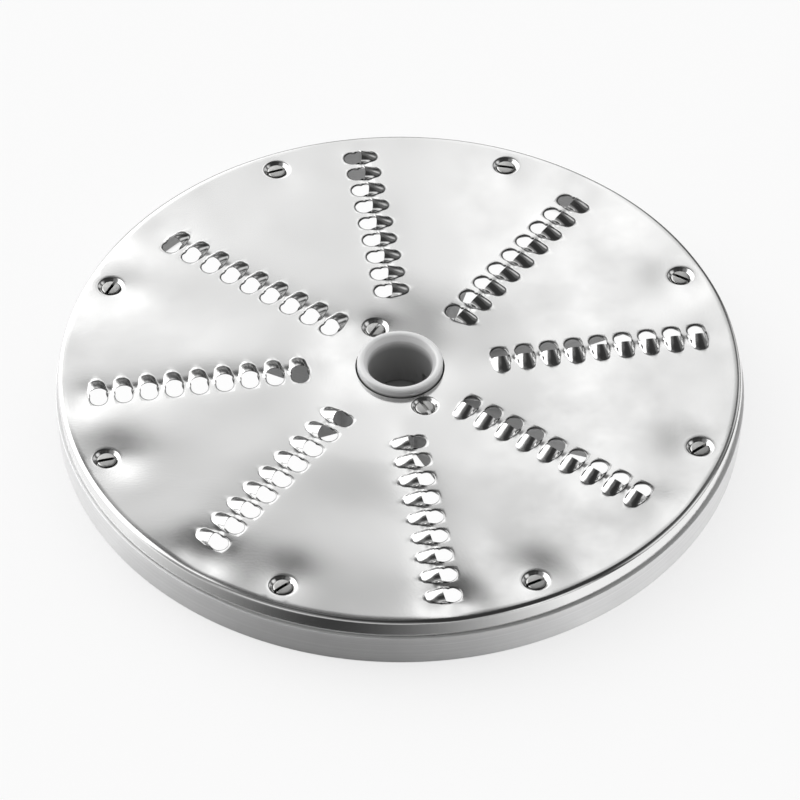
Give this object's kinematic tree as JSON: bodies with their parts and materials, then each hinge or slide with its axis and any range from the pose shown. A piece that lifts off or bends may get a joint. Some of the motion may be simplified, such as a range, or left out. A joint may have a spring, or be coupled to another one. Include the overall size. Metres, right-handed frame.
{
  "type": "food processor disc",
  "caption": "Round grating disc for a vegetable cutter: a polished steel plate with rows of raised hooded teeth, screwed to a cast ring with webs and a central shaft hub.",
  "frame": {"origin": "on the shaft axis, in the plane that the ring and the hub stand on", "axes": "+Z along the shaft axis, from the foot towards the toothed face; +X along a web and its rim screw; +Y through both hub screws"},
  "size_m": [0.205, 0.205, 0.0183],
  "materials": {
    "plate_steel": "mirror-polished stainless sheet",
    "cast_aluminium": "satin, turned on the outside",
    "screw_steel": "plain machined steel"
  },
  "bodies": {
    "root": {"grating_plate": "plate_steel", "disc_body": "cast_aluminium", "rim_screws": "screw_steel", "hub_screws": "screw_steel"}
  },
  "joints": []
}
